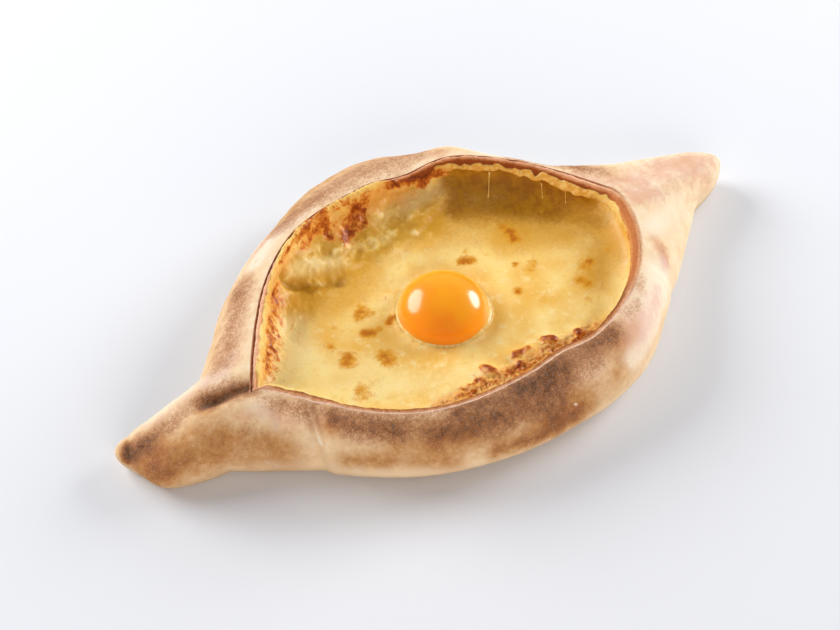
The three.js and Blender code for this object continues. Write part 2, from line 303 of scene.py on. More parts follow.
def rim_points(angle):
    rim = flat_rim_points(angle)
    rim[:, 2] += relief(CRUST_RELIEF, rim[:, 0], rim[:, 1])
    return rim


def wall_columns(angle):
    """From the flat foot round the belly and over the shoulder to the rim's outer edge."""
    belly = belly_points(angle)
    rim = flat_rim_points(angle)
    outward = (belly - rim) * [1, 1, 0]
    outward /= np.linalg.norm(outward, axis=1, keepdims=True)
    out = np.linspace(1, 0, STEPS + 1)[None, :]
    fall, fullness = (around(v, angle)[:, None] for v in (CROWN_FALL, SHOULDER_FULLNESS))
    top = rim[:, 2:] - fall * out
    rise = (top - belly[:, 2:]) * (1 - out**fullness) ** (1 / fullness)
    over = rim[:, None] + (belly - rim)[:, None] * out[..., None]
    over[..., 2] = belly[:, 2:] + rise
    raised = relief(CRUST_RELIEF, over[..., 0], over[..., 1])
    lean = np.pi / 2 * out
    over += outward[:, None] * (raised * np.sin(lean))[..., None]
    over[..., 2] += raised * np.cos(lean)
    widest = over[:, :1]
    turn = np.linspace(0, np.pi / 2, STEPS + 1)[None, :, None]
    foot = widest * FOOT_SCALE
    under = foot + (widest - foot) * np.sin(turn)
    under[..., 2:] = widest[..., 2:] * (1 - np.cos(turn))
    return spread(under, BREAD_ROWS["under"])[:, :-1], spread(over, BREAD_ROWS["over"])


def inside(angle):
    """Rim points with their bearing from the yolk, the way in, the room that way and the end of the lip."""
    rim = rim_points(angle)
    bearing = np.arctan2(rim[:, 1] - YOLK["y"], rim[:, 0] - YOLK["x"]) % TAU
    along = SPINE_RIGHT - SPINE_LEFT
    t = (((rim[:, :2] - SPINE_LEFT) @ along) / (along @ along)).clip(0, 1)
    way = SPINE_LEFT + t[:, None] * along - rim[:, :2]
    room = np.linalg.norm(way, axis=1)
    way = np.concatenate([way / room[:, None], np.zeros((len(rim), 1))], axis=1)
    contact = rim + way * around(LIP_WIDTH, bearing)[:, None]
    contact[:, 2] -= around(LIP_DEPTH, bearing)
    return rim, bearing, way, room, contact


def within(wanted, room):
    """A distance in from the rim, held back where there is little room."""
    return (wanted**-4.0 + (0.75 * room) ** -4.0) ** -0.25


def smooth_through(x, xs, ys):
    """A smooth curve through a few points."""
    xs, ys = np.asarray(xs, float), np.asarray(ys, float)
    slopes = np.gradient(ys, xs)
    i = (np.searchsorted(xs, x, side="right") - 1).clip(0, len(xs) - 2)
    h = xs[i + 1] - xs[i]
    t = (x - xs[i]) / h
    return (
        ys[i] * (1 + 2 * t) * (1 - t) ** 2
        + slopes[i] * h * t * (1 - t) ** 2
        + ys[i + 1] * t * t * (3 - 2 * t)
        + slopes[i + 1] * h * t * t * (t - 1)
    )


def lip_points(angle, share):
    """Points of the lip at a share of its width."""
    rim, bearing, _, _, contact = inside(angle)
    lip = rim[:, None] + (contact - rim)[:, None] * share[..., None]
    height = smooth_through(share, LIP_SHARES, LIP_HEIGHTS)
    rest = around(LIP_DEPTH, bearing)[:, None] + LIP_HEIGHTS[-1]
    drop = ((share - LIP_DROP["from"]) / LIP_DROP["over"]).clip(0, 1) ** LIP_DROP["power"]
    lip[..., 2] = rim[:, 2:] + height - rest * drop
    return lip


def stepped_in(contact, way, distance, height):
    """Points at a height, some distance in from the end of the lip."""
    points = contact + way * (distance + np.zeros(len(way)))[:, None]
    points[:, 2] = height
    return points


def cavity_columns(angle, inset, rows):
    """Out under the rim and down to the floor. `inset` moves it towards the cheese."""
    _, bearing, way, room, contact = inside(angle)
    drop = contact[:, 2] - FLOOR_HEIGHT
    back = around(UNDERCUT, bearing).clip(0) + WALL_CHEESE
    floor = FLOOR_HEIGHT + inset
    curve = bezier(
        stepped_in(contact, way, inset, contact[:, 2] - inset),
        stepped_in(contact, way, inset - back * 1.6, contact[:, 2] - drop * 0.35),
        stepped_in(contact, way, inset - back * 0.6, floor),
        stepped_in(contact, way, inset + within(FLOOR_FILLET, room), floor),
    )
    return spread(curve, rows)


def pool_height(x, y):
    """Height of the pool of cheese, which rises towards both ends and both sides."""
    height = POOL_HEIGHT
    for axis, start, end, lift in POOL_LIFTS:
        height = height + lift * (((x, y)[axis] - start) / (end - start)).clip(0, 1) ** 2
    return height


def cheese_columns(angle):
    """From the cheese's edge on the lip down the wall into the pool, and on to the middle under the yolk."""
    _, bearing, way, room, contact = inside(angle)
    width = within(around(SHORE_WIDTH, bearing), room)
    starts = around(CHEESE_FROM, bearing) + 0.15 * layered(contact, 7, 3, 9)
    share = np.linspace(starts.clip(0.07, 0.94), 1, CHEESE_ROWS["skin"] + 1, axis=1)[:, :-1]
    skin = lip_points(angle, share)
    shore = stepped_in(contact, way, width + GAP, 0)
    shore[:, 2] = pool_height(shore[:, 0], shore[:, 1])
    drop = contact[:, 2] - shore[:, 2]
    curve = bezier(
        stepped_in(contact, way, 0, contact[:, 2]),
        stepped_in(contact, way, GAP - around(UNDERCUT, bearing), contact[:, 2] - drop * 0.6),
        stepped_in(contact, way, GAP + width * 0.3, shore[:, 2]),
        shore,
    )
    slope = spread(curve, CHEESE_ROWS["shore"])
    share = np.linspace(0, 1, CHEESE_ROWS["pool"] + 1)[None, 1:-1, None]
    pool = shore[:, None] * (1 - share) + on_yolk_axis(POOL_HEIGHT) * share
    pool[..., 2] = pool_height(pool[..., 0], pool[..., 1])
    top = np.concatenate([slope, pool], axis=1)
    raised = relief(CHEESE_RELIEF, top[..., 0], top[..., 1])
    raised[:, 0] = 0
    top[..., 2] += raised
    return np.concatenate([skin, top], axis=1), bearing, way, contact


def even_angles(n):
    """Directions whose columns are evenly spaced along the outline of the belly and the rim."""
    dense = np.linspace(0, TAU, 8001)
    apart = 0
    for outline in (belly_points, flat_rim_points):
        apart = apart + np.linalg.norm(np.diff(outline(dense)[:, :2], axis=0), axis=1)
    along = np.concatenate([[0], apart.cumsum()])
    return np.interp(np.arange(n) * along[-1] / n, along, dense)


def grid_normals(points):
    """Outward normals of (columns, rows, 3)."""
    across = np.roll(points, -1, axis=0) - np.roll(points, 1, axis=0)
    down = np.gradient(points, axis=1)
    normal = np.cross(across, down)
    return normal / np.linalg.norm(normal, axis=-1, keepdims=True).clip(1e-9)


def stroked(points, strokes):
    """How much soft strokes cover a surface, 0 to 1 or a little more where a stroke is stronger."""
    bare = np.ones(points.shape[:-1])
    for start, end, radius, strength in strokes:
        start = np.array(start, float)
        along = np.array(end or start, float) - start
        t = ((points - start) @ along / max(along @ along, 1e-9)).clip(0, 1)
        away = np.linalg.norm(points - start - t[..., None] * along, axis=-1)
        bare *= 1 - strength * np.exp(-((away / radius) ** 2))
    return 1 - bare


def circle(n):
    """Angles (n, 1) and the points (n, 1, 3) of a unit circle at those angles."""
    spin = np.linspace(0, TAU, n, endpoint=False)[:, None]
    return spin, np.stack([np.cos(spin), np.sin(spin), 0 * spin], -1)


def placed(name, data):
    """A new object in the scene."""
    made = bpy.data.objects.new(name, data)
    bpy.context.scene.collection.objects.link(made)
    return made


def piece(name, vertices, faces, masks, material, replaced=None):
    """A mesh with masks as attributes, which rides on the only body."""
    mesh = bpy.data.meshes.new(name)
    mesh.from_pydata(((vertices + CENTRING) * MM).tolist(), [], faces)
    for mask, values in masks.items():
        mesh.attributes.new(mask, "FLOAT", "POINT").data.foreach_set("value", values.astype(np.float32))
    mesh.shade_smooth()
    mesh.materials.append(material)
    made = placed(name, mesh)
    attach(made, "root")
    if replaced:
        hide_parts(replaced)


def grid_faces(columns, rows, ring=False):
    """Quads between neighbours of a grid whose columns go round, and whose rows do too where it is a ring."""
    i, j = np.meshgrid(np.arange(columns), np.arange(rows if ring else rows - 1), indexing="ij")
    here, beside, up = i * rows, (i + 1) % columns * rows, (j + 1) % rows
    return np.stack([here + j, beside + j, beside + up, here + up], -1).reshape(-1, 4)


def closed(name, first, points, last, masks, material, replaced=None):
    """A closed piece from columns of points (columns, rows, 3) between two poles."""
    columns, rows = points.shape[:2]
    vertices = np.concatenate([[first], points.reshape(-1, 3), [last]])
    quads = 1 + grid_faces(columns, rows)
    i = np.arange(columns)
    top, next_top = 1 + i * rows, 1 + (i + 1) % columns * rows
    starts = np.stack([np.zeros_like(i), next_top, top], -1)
    ends = np.stack([np.full_like(i, 1 + columns * rows), top + rows - 1, next_top + rows - 1], -1)
    faces = quads.tolist() + starts.tolist() + ends.tolist()
    flat = {
        mask: np.concatenate([[values[:, 0].mean()], values.ravel(), [values[:, -1].mean()]])
        for mask, values in masks.items()
    }
    piece(name, vertices, faces, flat, material, replaced)


# ---------- shader helpers ----------
def srgb(code):
    """A linear colour from a hex code as seen on a screen."""
    parts = [int(code[k : k + 2], 16) / 255 for k in (0, 2, 4)]
    return [p / 12.92 if p <= 0.04045 else ((p + 0.055) / 1.055) ** 2.4 for p in parts] + [1.0]


class Shader:
    """A material whose nodes are made by short calls.

    Sizes of patterns are in millimetres, and a colour is a hex code or the output of a node.
    """

    def __init__(self, name):
        self.material = bpy.data.materials.new(name)
        self.material.use_nodes = True
        self.tree = self.material.node_tree
        self.surface = self.tree.nodes["Principled BSDF"]
        self.place = self.tree.nodes.new("ShaderNodeTexCoord").outputs["Object"]

    def _put(self, node, inputs):
        for key, value in inputs.items():
            socket = node.inputs[key]
            if isinstance(value, bpy.types.NodeSocket):
                self.tree.links.new(value, socket)
            else:
                socket.default_value = srgb(value) if isinstance(value, str) else value
        return node

    def mask(self, name):
        node = self.tree.nodes.new("ShaderNodeAttribute")
        node.attribute_name = name
        return node.outputs["Fac"]

    def noise(self, size, detail, roughness=0.55):
        node = self.tree.nodes.new("ShaderNodeTexNoise")
        inputs = {"Vector": self.place, "Scale": 1 / (size * MM), "Detail": detail, "Roughness": roughness}
        return self._put(node, inputs).outputs["Fac"]

    def math(self, operation, *values):
        node = self.tree.nodes.new("ShaderNodeMath")
        node.operation = operation
        return self._put(node, dict(enumerate(values))).outputs[0]

    def times(self, value, factor):
        return self.math("MULTIPLY", value, factor)

    def sum(self, *terms):
        """The sum of (value, factor) pairs."""
        total = 0.0
        for value, factor in terms:
            total = self.math("MULTIPLY_ADD", value, factor, total)
        return total

    def facing(self, blend):
        node = self.tree.nodes.new("ShaderNodeLayerWeight")
        return self._put(node, {"Blend": blend}).outputs["Facing"]

    def step(self, value, low, high, to_low=0.0, to_high=1.0):
        node = self.tree.nodes.new("ShaderNodeMapRange")
        node.interpolation_type = "SMOOTHSTEP"
        inputs = {"Value": value, "From Min": low, "From Max": high, "To Min": to_low, "To Max": to_high}
        return self._put(node, inputs).outputs["Result"]

    def mix(self, factor, a, b, blend="MIX"):
        node = self.tree.nodes.new("ShaderNodeMix")
        node.data_type = "RGBA"
        node.blend_type = blend
        return self._put(node, {0: factor, 6: a, 7: b}).outputs[2]

    def ramp(self, value, stops):
        """Colours that blend from one position to the next."""
        node = self.tree.nodes.new("ShaderNodeValToRGB")
        ramp = node.color_ramp
        while len(ramp.elements) < len(stops):
            ramp.elements.new(0.5)
        for element, (position, colour) in zip(ramp.elements, stops.items()):
            element.position = position
            element.color = srgb(colour)
        return self._put(node, {"Fac": value}).outputs["Color"]

    def patch(self, name, mottle, wobble, low, high):
        """How much a mask covers, with its edge broken up by a mottle."""
        return self.step(self.sum((self.mask(name), 1), (mottle, wobble)), low, high)

    def painted(self, colour, mottle, *layers):
        """A colour under layers of (mask, wobble, low, high, share, paint)."""
        for name, wobble, low, high, share, paint in layers:
            colour = self.mix(self.times(self.patch(name, mottle, wobble, low, high), share), colour, paint)
        return colour

    def bump(self, height, distance, strength):
        node = self.tree.nodes.new("ShaderNodeBump")
        inputs = {"Height": height, "Distance": distance * MM, "Strength": strength}
        return self._put(node, inputs).outputs["Normal"]

    def finish(self, colour, roughness, soft=None, **more):
        """`soft` is how light spreads below the surface: its weight, radius by colour and scale in mm."""
        inputs = {"Base Color": colour, "Roughness": roughness}
        if soft:
            weight, radius, scale = soft
            inputs |= {"Subsurface Weight": weight, "Subsurface Radius": radius}
            inputs["Subsurface Scale"] = scale * MM
        inputs |= {key.replace("_", " "): value for key, value in more.items()}
        self._put(self.surface, inputs)
        return self.material


# ---------- bread ----------
# Marks on bread and cheese are soft strokes: from, to (None where it is round), radius, strength.
# How brown the crust is, with painted shade in the left crease, along the nub's groove and on the lower outer
# slopes of the far wall and the neck.
BAKED_AND_SHADED = [
    ((-87, -18, 29), (-76, -34, 29), 6, 0.3),
    ((-76, -36, 29), (-62, -52, 30), 6, 0.5),
    ((-56, -57, 30), (-38, -66, 26), 7, 0.42),
    ((-46, -64, 27), (-24, -70, 28), 7, 0.35),
    ((-30, -68, 28), (6, -72, 26), 11, 0.5),
    ((-10, -67, 31), (38, -66, 31), 6, 0.45),
    ((-3, -77, 20), (12, -80, 16), 7, 0.6),
    ((-26, -76, 15), (0, -79, 14), 5, 0.5),
    ((-77, -47, 16), (-66, -55, 17), 5, 0.42),
    ((-60, -58, 20), (-44, -69, 15), 6, 0.35),
    ((-92, -34, 12), (-48, -69, 10), 11, 0.08),
    ((-122, -17, 16), (-98, -30, 14), 9, 0.36),
    ((-136, -9, 13), (-142, -5, 11), 8, 0.44),
    # painted shade along the nub's groove
    ((-142, 13, 15), (-147, 7, 9), 1.6, 0.8),
    ((-112, -15, 22), (-98, -24, 21), 6, 0.3),
    ((-133, 4, 17), (-145, 7, 12), 4.5, 0.55),
    ((-112, 5, 25), (-144, 9, 14), 9, 0.1),
    # charred crease, darkened further as painted shade
    ((-96, -4, 30), (-113, 1, 25), 4.5, 0.66),
    ((-98, 14, 28), (-72, 42, 31), 8, 0.28),
    ((-72, 42, 27), (-30, 66, 28), 7, 0.22),
    ((-36, 66, 30), (30, 68, 30), 10, 0.3),
    ((38, 57, 36), None, 6, 0.2),
    ((84, 18, 32), (92, 8, 32), 5, 0.3),
    ((19, -78, 20), (30, -76, 20), 7, 0.18),
    ((88, -34, 29), (86, -44, 25), 4, 0.25),
    ((50, -68, 26), (35, -74, 24), 5, 0.14),
    ((36, -76, 20), (66, -60, 20), 8, 0.2),
    ((-114, -8, 20), (-141, -2, 13), 9, 0.44),
    # painted shade on the lower outer slopes of the far wall and the neck, against the back lamps' glow
    ((-36, 75, 23), (30, 78, 22), 9, 0.3),
    ((-100, 22, 20), (-76, 50, 20), 8, 0.2),
    ((62, 38, 35), (84, 18, 34), 4, 0.35),
    ((-36, -61, 33), (-7, -65, 33), 3, 0.35),
    ((-7, -65, 33), (39, -63, 33), 3, 0.35),
]
# Flour and ash dust on the crust, with painted shade in the left crease and a painted shadow low on the near
# wall.
DUSTY_AND_SHADED = [
    # dust in the crease, darkened further as painted shade
    ((-103, -1, 29), (-95, -5, 30), 4.4, 1.4),
    ((-103, -1, 29), (-112, 3, 26), 4.6, 1.3),
    ((-112, 3, 26), (-123, 4, 22), 4, 0.6),
    ((-128, 4, 20), (-144, 7, 13), 5, 0.9),
    ((-107, -16, 23), (-98, -20, 23), 6, 0.4),
    ((-92, -12, 29), (-84, -25, 28), 4.5, 0.7),
    ((-84, -23, 29), (-66, -44, 31), 5, 0.9),
    ((-72, -42, 28), (-58, -55, 30), 6, 0.95),
    ((-66, -44, 32), (-36, -61, 33), 3, 0.8),
    ((-50, -60, 29), (-22, -68, 30), 5, 0.7),
    # painted shadow on the near wall
    ((-40, -67, 24), None, 5, 0.35),
    ((-22, -65, 31), (8, -67, 32), 5, 1),
    ((-30, -72, 26), (0, -74, 24), 7, 0.7),
    ((8, -66, 32), (39, -64, 32), 5, 1.1),
    ((-1, -71, 30), (24, -71, 29), 6, 0.85),
    ((50, -60, 33), (56, -57, 31), 4, 0.9),
    ((-36, -61, 33), (-7, -65, 33), 3, 0.9),
    ((-7, -65, 33), (39, -63, 33), 3, 0.9),
    ((62, -52, 32), (66, -48, 31), 3.5, 0.9),
    ((-98, 14, 28), (-72, 40, 31), 8, 0.9),
    ((-74, 44, 26), (-40, 64, 28), 6, 0.4),
    ((-40, 62, 31), (32, 66, 30), 9, 0.9),
    ((-9, 61, 35), (30, 60, 34), 6, 0.5),
    ((62, 38, 35), (90, 10, 33), 5, 0.95),
    ((107, -3, 29), (101, -9, 30), 3, 0.5),
]
ROSY = [
    ((-89, -23, 28), (-64, -48, 30), 7, 0.7),
    ((-20, -70, 29), (25, -70, 30), 8, 0.8),
    ((-98, 12, 28), (-72, 40, 31), 9, 0.9),
    ((-60, 58, 28), (-3, 69, 31), 4, 0.9),
    ((36, 56, 36), None, 9, 0.6),
    ((40, -68, 31), (52, -63, 32), 7, 0.8),
    ((103, -1, 30), None, 5, 0.8),
    ((93, -9, 32), (101, -9, 31), 5, 0.8),
    ((104, -14, 30), None, 4, 0.6),
    ((88, -34, 30), (86, -43, 25), 5, 0.9),
    ((118, 2, 25), (133, -5, 23), 6, 0.8),
    ((100, -4, 30), (140, 0, 20), 15, 0.6),
    ((79, 12, 35), (90, 3, 33), 5, 0.7),
    ((-144, 8, 13), (-112, 10, 25), 7, 0.6),
    ((50, -66, 27), (68, -54, 25), 8, 0.7),
    ((-104, -12, 27), (-90, -20, 28), 6, 0.5),
]
PALE = [
    ((-97, -12, 29), (-95, -22, 25), 5, 0.5),
    ((-100, -8, 27), (-122, -2, 21), 3, 0.6),
    ((-93, -2.5, 31.5), (-108, 4.5, 28), 1.2, 1),
    ((-102, 6, 30), (-94, 14, 30), 5, 0.6),
    ((62, -60, 30), (81, -46, 26), 9, 0.9),
    ((44, -72, 22), (72, -54, 24), 8, 0.8),
    ((90, -27, 31), (118, -18, 22), 7, 0.7),
    ((-60, 50, 31), (-42, 60, 31), 7, 0.8),
    ((-42, 58, 33), (-24, 60, 35), 3, 0.9),
    ((-102, 12, 27), (-132, 14, 17), 6, 0.6),
    ((-104, -28, 9), (-84, -45, 10), 8, 0.35),
    ((-76, -52, 9), (-44, -74, 9), 6, 0.5),
    ((-81, -28, 27.5), (-83.5, -37, 20), 0.8, 1.1),
    ((9, -67, 31.5), None, 0.6, 1.5),
    ((10, -78, 21), (11, -78.5, 20.5), 0.6, 1.5),
    ((12, -78, 22), None, 0.4, 1.5),
    ((3, -69, 30.5), None, 0.5, 1.5),
]
FINE_CRUST = [  # from, to, radius, height
    ((-81, -27), (-83, -36), 1.1, 0.7),
    ((-82, -27), (-85, -40), 0.9, -0.9),
    ((-141, 15), (-147, 6), 1.5, -1.5),
    ((-93, -2.5), (-109, 5), 1.3, 0.8),
    ((-106, -14), (-124, -8), 2.4, 0.5),
]

# Bearings from the yolk, in degrees, where a stretch fades in (two) and out (two).
FAR_RIM = (20, 45, 176, 184)
NEAR_RIM = (176, 184, 318, 332)
GROOVE_FILL = {"share": 0.2, "width": 0.09, "height": 0.8}  # fills the lip's groove, apart from the far rim

# Colours by position.
CRUST_COLOURS = {0: "f8e6ca", 0.2: "eecea4", 0.38: "dbb284", 0.55: "c69058", 0.75: "a66a3c", 1: "785032"}
DUST_AND_SHADE_COLOURS = {0.1: "ecceb0", 0.35: "cfa27c", 0.6: "b07c54", 0.85: "88593a", 1: "5e402a"}
FAR_LIP_COLOURS = {
    0: "c29a7c", 0.1: "a86440", 0.22: "b07452", 0.3: "facaa6",
    0.62: "f4b48a", 0.72: "ca8450", 0.79: "9c5024", 1: "8c4218",
}
RIGHT_LIP_COLOURS = {
    0: "f0d2b6", 0.1: "eabf98", 0.22: "e4b084", 0.3: "dea270", 0.42: "d48e5a",
    0.54: "c8783f", 0.8: "ca7c42", 0.9: "dc9a56", 1: "eab66c",
}
NEAR_LIP_COLOURS = {
    0: "e8c4ac", 0.08: "f6d2ba", 0.26: "f0bc98", 0.38: "d0905c",
    0.52: "a05a2a", 0.68: "7c4018", 1: "5e2e10",
}


def crust_noise(points, on_lip):
    """Fine unevenness of the crust, finer on the lip."""
    broad = 0.45 * noise(points, 17, 1) + 0.22 * noise(points, 7, 2) + 0.1 * layered(points, 3, 2, 3)
    fine = 0.3 * noise(points, 4, 4) + 0.2 * layered(points, 1.8, 2, 5)
    return (1 - 0.6 * on_lip) * broad + on_lip * fine


def make_bread(angle):
    """The foot, the wall, the lip and the cavity, which the cheese hides, as one closed mesh."""
    under, over = wall_columns(angle)
    bearing = inside(angle)[1]
    share = np.linspace(0, 1, BREAD_ROWS["lip"] + 1)[None, 1:] + 0 * angle[:, None]
    lip = lip_points(angle, share)
    cavity = cavity_columns(angle, 0, BREAD_ROWS["cavity"])[:, 1:]
    points = np.concatenate([under, over, lip, cavity], axis=1)
    first_lip = under.shape[1] + over.shape[1]
    last_lip = first_lip + lip.shape[1] - 1
    row = np.arange(points.shape[1])[None, :]
    across = np.zeros(points.shape[:2])
    across[:, first_lip : last_lip + 1] = share
    across[:, last_lip + 1 :] = 1
    free = step(row, 2, under.shape[1] + 4) * (row < last_lip)
    on_lip = step(across, 0, 0.1)
    height = crust_noise(points, on_lip) + (1 - on_lip) * relief(FINE_CRUST, points[..., 0], points[..., 1])
    turn = np.degrees(bearing)[:, None] + 0 * across
    groove = np.exp(-(((across - GROOVE_FILL["share"]) / GROOVE_FILL["width"]) ** 2))
    height += (1 - between(turn, *FAR_RIM)) * GROOVE_FILL["height"] * groove
    points = points + grid_normals(points) * (height * free)[..., None]
    masks = {
        # painted shade: the crust darker up to 9 mm above the floor
        "low": 1 - step(points[..., 2], 1, 9),
        "lip": across,
        "near": between(turn, *NEAR_RIM),
        "right": (1 - step(turn, -5, 10)) + step(turn, *NEAR_RIM[2:]),
    }
    for name, strokes in (("baked_and_shaded", BAKED_AND_SHADED), ("dusty_and_shaded", DUSTY_AND_SHADED), ("rosy", ROSY), ("pale", PALE)):
        masks[name] = stroked(points, strokes)
    floor = on_yolk_axis(FLOOR_HEIGHT)
    closed("bread", (0, 0, 0), points, floor, masks, crust_material(), "bread_boat")


def crust_material():
    s = Shader("crust")
    broad, middle = s.noise(20, 3), s.noise(6, 4, 0.6)
    small, grain = s.noise(2, 3, 0.65), s.noise(0.7, 2, 0.7)
    mottle = s.sum((broad, 0.4), (middle, 0.7), (small, 0.4), (1, -0.75))
    baked_and_shaded = s.mask("baked_and_shaded")
    bake_and_shade = s.sum((baked_and_shaded, 1), (mottle, s.sum((baked_and_shaded, 0.6), (1, 0.5))), (grain, 0.16), (1, 0.04))
    colour = s.ramp(bake_and_shade, CRUST_COLOURS)
    colour = s.painted(colour, mottle, ("pale", 1.2, 0.2, 0.8, 0.8, "f9ead4"))
    colour = s.mix(s.times(s.patch("rosy", mottle, 1.2, 0.2, 0.9), 0.9), colour, "f0d8df", "MULTIPLY")
    specks = s.step(s.sum((small, 0.5), (grain, 0.5)), 0.42, 0.6)
    dusting_and_shade = s.sum((bake_and_shade, 0.9), (s.mask("dusty_and_shaded"), 0.2), (grain, 1.5), (small, 0.4), (1, -1))
    dust_and_shade = s.ramp(dusting_and_shade, DUST_AND_SHADE_COLOURS)
    colour = s.painted(colour, mottle, ("dusty_and_shaded", 1.2, 0.15, 0.85, 0.9, dust_and_shade))
    colour = s.mix(s.times(s.step(grain, 0.54, 0.68), 0.22), colour, "f2dccc")
    colour = s.mix(s.times(s.step(grain, 0.46, 0.34), s.times(baked_and_shaded, 0.3)), colour, "704c34")
    # painted shade, darker towards the floor
    colour = s.mix(s.times(s.mask("low"), 0.45), colour, "b8a8a4", "MULTIPLY")
    lip = s.mask("lip")
    wavy = s.sum((lip, 1), (middle, 0.15), (small, 0.12), (1, -0.135))
    far_side = s.ramp(wavy, FAR_LIP_COLOURS)
    right_side = s.ramp(wavy, RIGHT_LIP_COLOURS)
    near_side = s.ramp(wavy, NEAR_LIP_COLOURS)
    rim = s.mix(s.mask("near"), s.mix(s.mask("right"), far_side, right_side), near_side)
    rim = s.mix(s.times(specks, 0.3), rim, "8c4f30")
    colour = s.mix(s.step(lip, 0.0, 0.03), colour, rim)
    normal = s.bump(s.sum((small, 0.5), (grain, 0.5)), 0.4, 0.7)
    roughness = s.step(lip, 0.0, 0.3, 0.82, 0.66)
    soft = (0.06, (1.0, 0.5, 0.25), 1.5)
    return s.finish(colour, roughness, soft, Normal=normal, Specular_IOR_Level=0.25)


# ---------- cheese ----------
BROWN = [
    ((-22, -47, 22), (-14, -48, 22), 2, 0.7),
    ((-9, -43, 22), (-8, -47, 22), 2.4, 1.2),
    ((-2, -51, 22), (4, -51, 23), 2, 0.9),
    ((5, -45, 22), (10, -46, 22), 2.2, 1.2),
    ((19, -46, 22), (21, -48, 23), 2.6, 1.2),
    ((32, -51, 23), None, 2.2, 1.2),
    ((40, -51, 24), (48, -50, 24), 1.6, 0.8),
    ((-26, -51, 23), (36, -55, 24), 3.4, 0.6),
    ((-82, 2, 28), (-60, 29, 28), 6, 0.84),
    ((-62, 31, 29), (-54, 39, 28), 3, 0.7),
    ((-17, 46, 24), (-8, 53, 30), 3.8, 1.1),
    ((-9, 47, 25), (-3, 52, 30), 3, 1),
    ((-24, 49, 27), (-23, 53, 31), 3.4, 1),
    ((-36, 48, 30), (-28, 53, 32), 3.6, 0.85),
    ((-54, 42, 34), (-24, 55, 36), 2.6, 0.8),
    ((-20, 56, 35), (6, 56, 34), 3, 0.7),
    ((12, 54, 33), (34, 51, 32), 4, 1.1),
    ((18, 50, 28), (26, 50, 28), 3, 0.7),
]
WARM = [
    ((-34, -50, 22), (40, -53, 24), 5, 1),
    ((-20, 50, 27), (-6, 51, 28), 5, 0.7),
    ((-58, 40, 32), (24, 55, 33), 5, 0.85),
    ((-40, 50, 30), (-24, 54, 32), 4, 0.5),
    ((-4, 51, 27), (16, 50, 27), 4, 0.6),
    # painted warm light on the far slump, whose shade is lit bluish
    ((14, 48, 24), (30, 46, 25), 5, 0.42),
    ((-86, 0, 28), (-60, 33, 30), 6, 0.8),
]
SPOTS = [
    ((-60, -4, 20), None, 2.6, 0.4),
    ((-52, -8, 20), None, 4.4, 1),
    ((-38, -14, 20), (-38, -17, 20), 3.8, 0.95),
    ((-57, -27, 20), (-55, -23, 20), 4, 0.5),
    ((-36, 9, 20), (-32, 12, 20), 3.2, 0.7),
    ((-30, 8, 20), None, 2.6, 0.5),
    ((-38, 0, 20), (-36, -1, 20), 2.6, 1),
    ((-32, -1, 20), None, 1.8, 0.8),
    ((-27, 0, 20), (-24, 1, 20), 2, 1),
    ((-47, 9, 20), None, 2, 0.5),
    ((-54, 2, 20), None, 2.2, 0.75),
    ((44, 12, 20), (43, 8, 20), 2.8, 1),
    ((43, 16, 20), None, 2.6, 0.6),
    ((17, 10, 20), (21, 8, 20), 2.6, 0.9),
    ((22, 14, 20), None, 1.8, 0.6),
    ((35, -4, 20), None, 1.8, 0.9),
    ((42, -7, 20), (38, -10, 20), 2.6, 0.55),
    ((27, -17, 20), None, 2.4, 1),
    ((53, -30, 20), (52, -27, 20), 2.6, 0.9),
    ((58, -22, 20), (61, -21, 20), 3.2, 0.75),
    ((48, -38, 20), None, 2.2, 0.5),
    ((33, -27, 20), None, 2.6, 0.4),
    ((71, -20, 21), None, 3, 0.5),
]
RINGS = [((-54, 2), 2.4), ((-51, -8), 4.2)]
DEEP_AND_SHADE = [  # oily golden cheese, and painted shade under the far right rim, at the right end and towards the left wall
    # painted shade under the far right rim and at the right end
    ((24, 36, 21), (66, 13, 21), 12, 0.9),
    ((74, 4, 22), (78, -16, 22), 8, 0.95),
    ((78, -16, 22), (73, -28, 22), 4, 0.7),
    ((44, 10, 20), (60, -4, 20), 9, 0.6),
    ((54, -29, 20), (68, -20, 20), 8, 0.75),
    # painted shade near the far-left pocket and the left wall
    ((-56, 30, 22), (-20, 33, 21), 9, 0.6),
    ((-44, 20, 21), (-22, 20, 20), 9, 0.55),
    ((38, 6, 20), (60, 2, 20), 9, 0.45),
    ((6, 28, 20), (30, 16, 20), 7, 0.4),
    ((-48, -22, 20), (-60, -14, 20), 6, 0.35),
]
# Paler cheese, with painted light where the walls shade the left end of the pool and the far slump.
CREAM_AND_LIGHT = [
    ((-60, -16, 20), (-20, -42, 20), 12, 0.7),
    ((-56, -6, 20), (-44, -16, 20), 8, 0.6),
    ((-66, 8, 22), (-84, -4, 23), 8, 0.5),
    # painted light where the left wall shades the pool
    ((-60, 20, 22), (-66, 4, 22), 8, 0.9),
    ((-46, 41, 27), (-28, 37, 23), 5, 0.9),
    ((-18, 42, 23), (-2, 38, 21), 3, 0.5),
    # painted light on the far slump, under the shading wall
    ((0, 48, 24), (16, 47, 25), 6, 0.5),
    ((17, 47, 23), (27, 46, 24), 5, 0.8),
    ((8, -38, 20), (40, -38, 20), 8, 0.45),
    ((36, 0, 20), (20, 0, 20), 5, 0.3),
]
